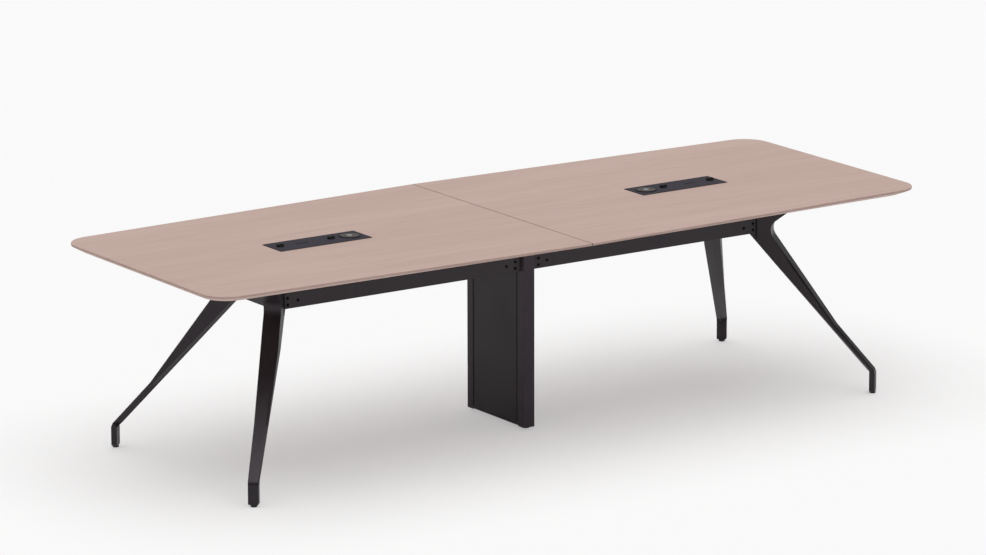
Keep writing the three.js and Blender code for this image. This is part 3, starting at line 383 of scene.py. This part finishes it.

# Seal and fillers, extruded: black with hardly any shine. This black is painted shade: it darkens the seam's edges,
# the seam's seal and the joint fillers, so that they read as shadow lines
rubber = moulded_plastic("black_rubber_painted_shade", "#0B0B0B", "#101010", spark=1.0, roughness=0.85, gloss=0.1)

# Marks, printed with a soft pad: a flat film of pale grey ink
mark_ink = moulded_plastic("pale_grey_pad_print", "#C6C8CA", "#D4D5D6", spark=0.5, roughness=0.5)

FINISH = {
    "oak_top": oak_face,
    "beech_dowel": beech,
    "black_casting": coat,
    "black_steel": coat,
    "black_sheet": sheet_coat,
    "black_bolts": black_oxide,
    "zinc_steel": zinc,
    "nylon": nylon,
    "graphite_plate": anodised,
    "black_plastic": abs_plastic,
}


# Tools for pieces


def object_from(name, bm, materials, sharp=30):
    """A mesh object from a bmesh, shaded smooth. Edges that fold by more than sharp degrees stay crisp."""
    bmesh.ops.remove_doubles(bm, verts=bm.verts, dist=WELD)
    bmesh.ops.recalc_face_normals(bm, faces=bm.faces)
    turn = math.radians(sharp)
    for edge in bm.edges:
        edge.smooth = not edge.is_manifold or edge.calc_face_angle() < turn
    mesh = bpy.data.meshes.new(name)
    bm.to_mesh(mesh)
    bm.free()
    for material in materials:
        mesh.materials.append(material)
    for face in mesh.polygons:
        face.use_smooth = True
    obj = bpy.data.objects.new(name, mesh)
    bpy.context.scene.collection.objects.link(obj)
    return obj


def fitted(name, bm, materials, node, slot=None, sharp=30):
    """A new piece that rides with a CAD node. Without a slot it stands for the node, which is hidden; a slot given is
    not used beyond that.
    """
    piece = object_from(name, bm, materials, sharp)
    weighted = piece.modifiers.new("even_shading", "WEIGHTED_NORMAL")
    weighted.keep_sharp = True
    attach(piece, body_of[node])
    if slot is None:
        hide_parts(node)
    return piece


def softened(node, rounding, sharp=30, finish=None):
    """A copy of a CAD node that stands for it. Its edges are rounded where they fold by more than sharp degrees."""
    radius, shortest = rounding
    bm = bmesh.new()
    bm.from_mesh(nodes[node].data)
    bmesh.ops.remove_doubles(bm, verts=bm.verts, dist=CAD_WELD)
    bmesh.ops.dissolve_limit(bm, angle_limit=CAD_FLAT, verts=bm.verts, edges=bm.edges)
    turn = math.radians(sharp)
    folds = [edge for edge in bm.edges if edge.is_manifold and edge.calc_face_angle() > turn]
    hard = [edge for edge in folds if edge.calc_length() > shortest]
    bmesh.ops.bevel(
        bm, geom=hard, offset=radius, segments=ROUNDING_STEPS, profile=0.5, affect="EDGES", clamp_overlap=True,
    )
    return fitted(node + "_finished", bm, [finish or FINISH[slot_of[node]]], node, sharp=sharp)


def skin(bm, loops):
    """Joins neighbouring loops of points with faces. A loop of one point closes an end."""
    rows = [[bm.verts.new(point) for point in loop] for loop in loops]
    for lower, upper in zip(rows, rows[1:]):
        count = max(len(lower), len(upper))
        for i in range(count):
            j = (i + 1) % count
            corners = [lower[i % len(lower)], lower[j % len(lower)], upper[j % len(upper)], upper[i % len(upper)]]
            bm.faces.new(list(dict.fromkeys(corners)))


def ring(radius, height, seat, axis, sides=0, steps=48):
    """Points of a circle, or of a hexagon or other regular outline, at a height along an axis from its seat."""
    middle = seat + axis * (height * MM)
    if radius == 0:
        return [middle]
    across = axis.orthogonal().normalized()
    points = []
    for i in range(steps):
        turn = 2 * math.pi * i / steps
        reach = radius
        if sides:
            flat = math.pi / sides
            reach = radius * math.cos(flat) / math.cos(turn % (2 * flat) - flat)
        points.append(middle + Matrix.Rotation(turn, 3, axis) @ across * (reach * MM))
    return points


def turned(bm, profile, seat, axis, steps=48):
    """Turns a profile of radii and heights about an axis."""
    skin(bm, [ring(radius, height, seat, axis, steps=steps) for radius, height in profile])


def socketed(bm, profile, socket, tip, seat, axis, steps=36):
    """Turns a profile whose crown ends in a hexagon socket."""
    loops = [ring(radius, height, seat, axis, steps=steps) for radius, height in profile]
    loops += [ring(radius, height, seat, axis, sides=6, steps=steps) for radius, height in socket]
    skin(bm, [*loops, ring(0, tip, seat, axis)])


def thread(start, end):
    """Profile of a threaded rod between two heights, with a chamfered end."""
    profile = []
    height = start
    while height + THREAD_PITCH < end - THREAD_RUNOUT:
        profile += [(radius, height + rise) for radius, rise in THREAD_TURN]
        height += THREAD_PITCH
    tip = [(THREAD_ROOT, end - THREAD_CHAMFER_HEIGHT), (THREAD_ROOT - THREAD_CHAMFER, end), (0, end)]
    return [*profile, (THREAD_ROOT, height), *tip]


def rounded_block(bm, low, high, radius):
    """Adds a block between two corners, with its edges rounded."""
    size = Matrix.Diagonal((*(high - low), 1))
    cube = bmesh.ops.create_cube(bm, size=1, matrix=Matrix.Translation((low + high) / 2) @ size)
    edges = {edge for vert in cube["verts"] for edge in vert.link_edges}
    bmesh.ops.bevel(
        bm, geom=list(edges), offset=radius, segments=BLOCK_ROUNDING_STEPS, profile=0.5, affect="EDGES",
    )


def slot_outline(middle, size, height):
    """Points of a slot with round corners, lying level with its length along X. Its size is length, width and
    corner radius."""
    length, width, corner = size
    points = []
    for quarter, (sx, sy) in enumerate(((1, 1), (-1, 1), (-1, -1), (1, -1))):
        centre = Vector((sx * (length / 2 - corner), sy * (width / 2 - corner), 0))
        for step in range(PORT_CORNER_STEPS + 1):
            turn = (quarter + step / PORT_CORNER_STEPS) * math.pi / 2
            reach = Vector((math.cos(turn), math.sin(turn), 0)) * corner
            points.append(middle + (centre + reach) * MM + Vector((0, 0, height * MM)))
    return points


def middle_of(node):
    """Middle of a node in plan, at its lowest level."""
    low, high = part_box(node)
    return Vector(((low.x + high.x) / 2, (low.y + high.y) / 2, low.z))


def height_of(node):
    """Height of a node in millimetres."""
    low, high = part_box(node)
    return (high.z - low.z) / MM


# Pieces


def top_half(side):
    """Half of the top: veneer, a lipping round its edge, and painted shade on its edges at the seam, which are made
    black so that the seam reads as a shadow line.
    """
    top = softened(f"top_{side}", TOP_ROUNDING, sharp=20)
    top.data.materials.append(oak_lipping)
    top.data.materials.append(rubber)
    lipped, painted_seam_shade = 1, 2  # places of these two among the materials
    lip_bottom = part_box(f"top_{side}")[1].z - LIP_HEIGHT
    for face in top.data.polygons:
        if abs(face.normal.z) < LIP_TILT and face.center.z > lip_bottom:
            face.material_index = lipped
        # painted shade: faces at the seam take the black rubber, so that the seam reads as a dark shadow line
        if abs(face.normal.x) > SEAM_TILT and abs(face.center.x) < TOP_ARRIS:
            face.material_index = painted_seam_shade
    for vert in top.data.vertices:
        if abs(vert.co.x) < TOP_ARRIS + SEAM_GAP:
            vert.co.x += math.copysign(SEAM_GAP, vert.co.x)


def seam_shade_seal():
    """Black seal in the seam, so that no light comes through between the halves of the top. Its black is also painted
    shade, which darkens the seam to a shadow line.
    """
    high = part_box("top_right")[1]
    end = Vector((0, high.y - SEAL_SETBACK, 0))
    top = UP * (high.z - SEAL_TOP)
    shoulder, foot = -SEAL_CREASE, SEAL_CREASE - SEAL_HEIGHT
    section = [
        (0, 0), (SEAL_REACH, shoulder), (SEAL_REACH, foot), (0, -SEAL_HEIGHT), (-SEAL_REACH, foot),
        (-SEAL_REACH, shoulder),
    ]
    outline = [top + Vector((x, 0, z)) for x, z in section]
    middle = top - UP * (SEAL_HEIGHT / 2)
    bm = bmesh.new()
    skin(bm, [[middle - end], [p - end for p in outline], [p + end for p in outline], [middle + end]])
    fitted("seam_shade_seal", bm, [rubber], "top_right", slot="nylon")


def bolt_set(node, pair_inside):
    """Three button-head bolts and the nut plate that they are screwed into. The pair sits at one end of the plate."""
    low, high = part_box(node)
    outward = Vector((0, -1 if low.y < 0 else 1, 0))
    tip, back = (low.y, high.y) if low.y < 0 else (high.y, low.y)
    seat = tip - outward.y * BUTTON_HEIGHT * MM
    margin = BOLT_MARGIN * MM
    inside, outside = sorted((low.x + margin, high.x - margin), key=abs)
    pair, lone = (inside, outside) if pair_inside else (outside, inside)
    places = [(pair, low.z + margin), (pair, high.z - margin), (lone, (low.z + high.z) / 2)]
    reach = abs(seat - back) / MM - NUT_PLATE / 2
    rod = [(0, -reach), (BOLT_SHANK - BOLT_CHAMFER, -reach), (BOLT_SHANK, BOLT_CHAMFER - reach), (BOLT_SHANK, 0)]
    bm = bmesh.new()
    for x, z in places:
        socketed(bm, rod + BUTTON_HEAD, BUTTON_SOCKET, BUTTON_SOCKET_TIP, Vector((x, seat, z)), outward)
    inner = back + outward.y * NUT_PLATE * MM
    plate_low = Vector((low.x, min(back, inner), low.z))
    plate_high = Vector((high.x, max(back, inner), high.z))
    rounded_block(bm, plate_low, plate_high, SHEET_EDGE)
    fitted(node + "_finished", bm, [black_oxide], node, sharp=40)


def hub_joint_shade(corner):
    """Filler of the joint between hub and blade, on the side of the leg that meets the long beam. Its black is
    painted shade for the joint's gap.
    """
    low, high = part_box(f"beam_{corner}")
    across = 1 if high.x > 0 else -1
    along = 1 if high.y > 0 else -1
    outward = Vector((across * math.cos(LEG_ANGLE), along * math.sin(LEG_ANGLE), 0))
    aside = Vector((-across * math.sin(LEG_ANGLE), along * math.cos(LEG_ANGLE), 0))
    beam_end = Vector((across * max(abs(low.x), abs(high.x)), along * max(abs(low.y), abs(high.y)), 0))
    middle = beam_end + outward * JOINT_REACH
    half, quarter = JOINT_WIDTH / 2, JOINT_WIDTH / 4
    section = [
        (-half, -JOINT_DEPTH), (half, -JOINT_DEPTH), (half, 0), (quarter, JOINT_PROUD), (-quarter, JOINT_PROUD),
        (-half, 0),
    ]
    plan = [middle + outward * o + aside * a for o, a in section]
    bottom, top = UP * JOINT_BOTTOM, UP * high.z
    bm = bmesh.new()
    skin(bm, [[middle + bottom], [p + bottom for p in plan], [p + top for p in plan], [middle + top]])
    fitted(f"hub_joint_shade_{corner}", bm, [rubber], f"leg_{corner}", slot="nylon")


def glide(corner):
    """Levelling glide: a moulded pad, and a threaded stud with a flange that turns in it."""
    pad = f"glide_pad_{corner}"
    bm = bmesh.new()
    turned(bm, GLIDE_PAD, middle_of(pad), UP)
    fitted(f"{pad}_finished", bm, [nylon], pad)

    stud = f"glide_stud_{corner}"
    bm = bmesh.new()
    turned(bm, GLIDE_FLANGE + thread(GLIDE_FLANGE_HEIGHT, height_of(stud)), middle_of(stud), UP, steps=32)
    fitted(f"{stud}_finished", bm, [zinc], stud, sharp=50)


def set_screw(corner):
    """Set screw in the inner face of a foot, which locks the glide's stud."""
    foot = middle_of(f"glide_stud_{corner}")
    across = math.copysign(math.cos(LEG_ANGLE), -foot.x)
    along = math.copysign(math.sin(LEG_ANGLE), -foot.y)
    inward = Vector((across, along, 0))
    face = Vector((foot.x, foot.y, SET_SCREW_HEIGHT * MM)) + inward * (FOOT_DEPTH / 2 * MM)
    bm = bmesh.new()
    socketed(bm, SET_SCREW, SET_SCREW_SOCKET, SET_SCREW_SOCKET_TIP, face, inward, steps=24)
    fitted(f"set_screw_{corner}", bm, [black_oxide], f"leg_{corner}", slot="black_bolts", sharp=40)


def screw_foot(end):
    """Threaded foot under a post of the column."""
    foot = f"column_foot_{end}"
    bm = bmesh.new()
    turned(bm, SCREW_FOOT + thread(SCREW_FOOT_HEIGHT, height_of(foot)), middle_of(foot), UP, steps=32)
    fitted(f"{foot}_finished", bm, [black_oxide], foot, sharp=50)


def charging_disc(side):
    """Charging disc: a rim with its stem, a soft pad, and a ring and dot printed on the pad."""
    disc = f"charging_disc_{side}"
    seat = middle_of(disc) + UP * (DISC_STEM * MM)
    bm = bmesh.new()
    turned(bm, DISC_RIM, seat, UP, steps=96)
    fitted(f"{disc}_rim", bm, [abs_plastic], disc)
    bm = bmesh.new()
    turned(bm, DISC_PAD, seat, UP, steps=96)
    fitted(f"{disc}_pad", bm, [silicone], disc, slot="black_plastic")
    bm = bmesh.new()
    turned(bm, MARK_RING, seat, UP, steps=64)
    turned(bm, MARK_DOT, seat, UP, steps=32)
    fitted(f"{disc}_mark", bm, [mark_ink], disc, slot="black_plastic")


def port_linings(side):
    """Metal shells in the openings of a port block, each with a tongue in its middle."""
    ports = f"port_block_{side}"
    outward = 1 if side == "right" else -1
    rim = middle_of(ports)
    rim.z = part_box(f"power_plate_{side}")[1].z
    top, bottom = -PORT_SHELL_SINK, -PORT_SHELL_DEPTH
    wall = PORT_SHELL_WALL
    shells = bmesh.new()
    tongues = bmesh.new()
    for shift, length, width, corner in PORT_SHELLS:
        middle = rim + Vector((outward * shift * MM, 0, 0))
        outer = (length - PORT_SHELL_FIT, width - PORT_SHELL_FIT, corner)
        inner = (length - 2 * wall, width - 2 * wall, corner - wall)
        loops = [(outer, bottom), (outer, top), (inner, top), (inner, bottom), (outer, bottom)]
        skin(shells, [slot_outline(middle, size, height) for size, height in loops])
        half = Vector((length / 2 - TONGUE_INSET, TONGUE_WIDTH / 2, 0)) * MM
        low = middle - half + UP * (bottom * MM)
        high = middle + half - UP * (TONGUE_SINK * MM)
        rounded_block(tongues, low, high, TONGUE_EDGE * MM)
    fitted(f"{ports}_shells", shells, [nickel], ports, slot="zinc_steel")
    fitted(f"{ports}_tongues", tongues, [abs_plastic], ports, slot="black_plastic")


for node in nodes:
    nodes[node].data.materials.clear()
    nodes[node].data.materials.append(FINISH[slot_of[node]])

for side in SIDES:
    top_half(side)
    softened(f"crossbeam_{side}", TUBE_ROUNDING)
    softened(f"column_cover_{side}", SHEET_ROUNDING)
    softened(f"power_plate_{side}", PLATE_ROUNDING)
    softened(f"power_tub_{side}", SHEET_ROUNDING)
    softened(f"power_inlet_{side}", INLET_ROUNDING)
    softened(f"port_block_{side}", PORT_ROUNDING)
    softened(f"lock_knob_{side}_outer", KNOB_ROUNDING)
    softened(f"lock_knob_{side}_inner", KNOB_ROUNDING)

for corner in CORNERS:
    softened(f"leg_{corner}", LEG_ROUNDING)
    softened(f"beam_{corner}", TUBE_ROUNDING)
    hub_joint_shade(corner)

for end in ENDS:
    softened(f"column_post_{end}", POST_ROUNDING, finish=post_coat)

softened("column_base", BASE_ROUNDING)
softened("column_head", SHEET_ROUNDING)

for corner in CORNERS:
    bolt_set(f"leg_bolts_{corner}", pair_inside=False)
    bolt_set(f"column_bolts_{corner}", pair_inside=True)
    glide(corner)
    set_screw(corner)

seam_shade_seal()

for end in ENDS:
    screw_foot(end)

for side in SIDES:
    charging_disc(side)
    port_linings(side)


# Studio


def backdrop_share(tree):
    """1 for rays that look at the backdrop or mirror it, and 0 for those that light the object."""
    path = add(tree, "LightPath").outputs
    seen = add(tree, "Math", {0: path["Is Camera Ray"], 1: path["Is Glossy Ray"]}, operation="MAXIMUM")
    through = {0: seen.outputs["Value"], 1: path["Is Transmission Ray"]}
    return add(tree, "Math", through, operation="MAXIMUM").outputs["Value"]


floor_bm = bmesh.new()
bmesh.ops.create_grid(floor_bm, x_segments=1, y_segments=1, size=FLOOR_REACH)
floor_paint, tree = new_material("pale_floor")
matt = add(tree, "BsdfDiffuse", {"Color": srgb("#FCFCFC")})
white = add(tree, "Emission", {"Strength": 1.0})
lift = add(tree, "Math", {0: backdrop_share(tree), 1: FLOOR_LIFT}, operation="MULTIPLY").outputs["Value"]
lifted = add(tree, "MixShader", {0: lift, 1: matt.outputs["BSDF"], 2: white.outputs["Emission"]})
add(tree, "OutputMaterial", {"Surface": lifted.outputs["Shader"]})
floor = object_from("studio_floor", floor_bm, [floor_paint])

world = bpy.data.worlds.new("studio")
bpy.context.scene.world = world
world.use_nodes = True
tree = world.node_tree
tree.nodes.clear()
rise = add(tree, "SeparateXYZ", {0: add(tree, "TexCoord").outputs["Generated"]}).outputs["Z"]
low_limits = {
    "Value": rise, "From Min": HORIZON_FADE[0], "From Max": HORIZON_FADE[1], "To Min": 1.0, "To Max": WALL_LIGHT,
}
high_limits = {
    "Value": rise, "From Min": CEILING_FADE[0], "From Max": CEILING_FADE[1], "To Min": WALL_LIGHT, "To Max": 1.0,
}
low_wall = add(tree, "MapRange", low_limits).outputs["Result"]
ceiling = add(tree, "MapRange", high_limits).outputs["Result"]
backdrop = add(tree, "Math", {0: low_wall, 1: ceiling}, operation="MAXIMUM").outputs["Value"]
sky_limits = {"Value": backdrop_share(tree), "To Min": SKY_LIGHT, "To Max": backdrop}
sky_level = add(tree, "MapRange", sky_limits).outputs["Result"]
sky = add(tree, "Background", {"Strength": sky_level})
add(tree, "OutputWorld", {"Surface": sky.outputs["Background"]})

overhead = bpy.data.lights.new("overhead_softbox", "SUN")
overhead.energy = OVERHEAD_LIGHT * math.pi
overhead.angle = OVERHEAD_SPREAD
bpy.context.scene.collection.objects.link(bpy.data.objects.new("overhead_softbox", overhead))

# Camera at the photograph's place
forward = Vector((
    math.sin(CAMERA_YAW) * math.cos(CAMERA_DIP),
    math.cos(CAMERA_YAW) * math.cos(CAMERA_DIP),
    -math.sin(CAMERA_DIP),
))
level = Vector((math.cos(CAMERA_YAW), -math.sin(CAMERA_YAW), 0))
above = level.cross(forward)
right = level * math.cos(CAMERA_ROLL) + above * math.sin(CAMERA_ROLL)
up = above * math.cos(CAMERA_ROLL) - level * math.sin(CAMERA_ROLL)
turn = Matrix((right, up, -forward)).transposed()
lens = bpy.data.cameras.new("photo_camera")
lens.sensor_width = SENSOR_WIDTH
lens.lens = FOCAL_PIXELS * SENSOR_WIDTH / PHOTO_WIDTH
lens.shift_x = ((PHOTO_WIDTH - 1) / 2 - AXIS_PIXEL[0]) / PHOTO_WIDTH
lens.shift_y = (AXIS_PIXEL[1] - (PHOTO_HEIGHT - 1) / 2) / PHOTO_WIDTH
lens.clip_end = CAMERA_SIGHT
camera = bpy.data.objects.new("photo_camera", lens)
camera.matrix_world = Matrix.Translation(CAMERA_PLACE) @ turn.to_4x4()
bpy.context.scene.collection.objects.link(camera)
bpy.context.scene.camera = camera
bpy.context.scene.view_settings.view_transform = "Standard"
